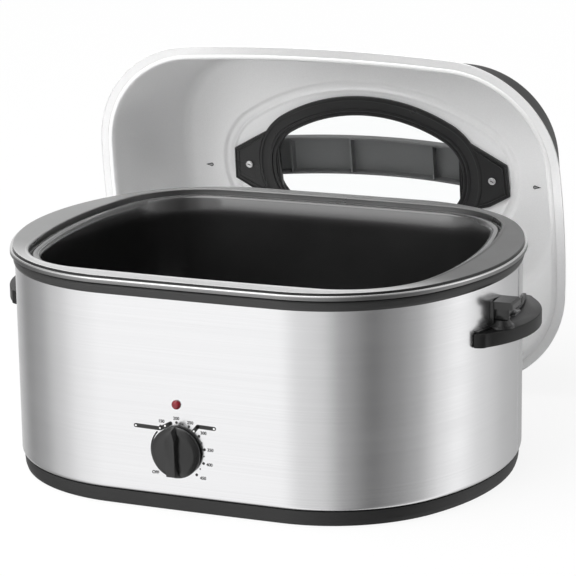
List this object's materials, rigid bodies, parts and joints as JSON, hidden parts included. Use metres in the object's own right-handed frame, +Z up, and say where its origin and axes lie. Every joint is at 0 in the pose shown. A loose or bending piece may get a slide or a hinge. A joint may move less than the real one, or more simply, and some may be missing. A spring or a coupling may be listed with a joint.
{
  "type": "electric roaster oven",
  "caption": "Rounded oblong roaster oven with a lift-out pan, a thermostat knob, side handles and a tall windowed lid that is off and stands behind the body.",
  "frame": {"origin": "centre of the body's plan, on the counter that the feet stand on", "axes": "+X to the right as seen from the front, +Y from the knob toward the standing lid, +Z up"},
  "size_m": [0.6299, 0.7043, 0.4135],
  "materials": {
    "polished_steel": "bright polished stainless steel sheet",
    "rim_steel": "satin plated steel, fine grain",
    "lid_metal": "light satin inside, worn shine",
    "dark_base": "charcoal, satin",
    "dark_trim": "dark grey, satin",
    "plate_steel": "plain zinc-plated sheet",
    "rubber": "matte",
    "screw_steel": "bright plated",
    "heater": "woven glass ribbon with heating wire",
    "blanket": "glass wool",
    "shield_metal": "mill finish",
    "ceramic": "off-white, matte",
    "red_lens": "dark red, translucent",
    "wire": "high-temperature lead, brown-red",
    "black_plastic": "black, half gloss",
    "enamel": "black porcelain enamel, glossy",
    "glass": "clear tempered",
    "gasket": "grey silicone"
  },
  "bodies": {
    "root": {"base_ring": "dark_base", "bottom_plate": "plate_steel", "rubber_feet": "rubber", "foot_screws": "screw_steel", "outer_casing": "polished_steel", "trim_band": "dark_trim", "cook_well": "rim_steel", "heater_band": "heater", "wall_insulation": "blanket", "floor_insulation": "blanket", "heat_shield": "shield_metal", "thermostat_body": "ceramic", "thermostat_nut": "screw_steel", "indicator_lens": "red_lens", "indicator_lamp": "ceramic", "terminal_block": "ceramic", "wiring_harness": "wire", "cord_gland": "black_plastic", "handle_right": "black_plastic", "handle_left": "black_plastic", "lid_rest_right": "black_plastic", "lid_rest_left": "black_plastic", "handle_screws": "screw_steel"},
    "pan": {"roasting_pan": "enamel"},
    "knob": {"knob": "black_plastic", "thermostat_shaft": "screw_steel", "knob_clip": "screw_steel"},
    "lid": {"lid_shell": "lid_metal", "window_gasket": "gasket", "window_glass": "glass", "window_frame": "black_plastic", "window_ring": "black_plastic", "lid_handle": "black_plastic", "lid_handle_screws": "screw_steel"}
  },
  "joints": [
    {"name": "pan_lift", "type": "slide", "parent": "root", "child": "pan", "axis": [0, 0, 1], "range_m": [0, 0.25]},
    {"name": "knob_turn", "type": "hinge", "parent": "root", "child": "knob", "pos_m": [-0.014, -0.217, 0.067], "axis": [0, 1, 0], "range_deg": [-133.5, 137]},
    {"name": "lid_lift", "type": "slide", "parent": "root", "child": "lid", "axis": [0, 0, 1], "range_m": [0, 0.3]}
  ]
}
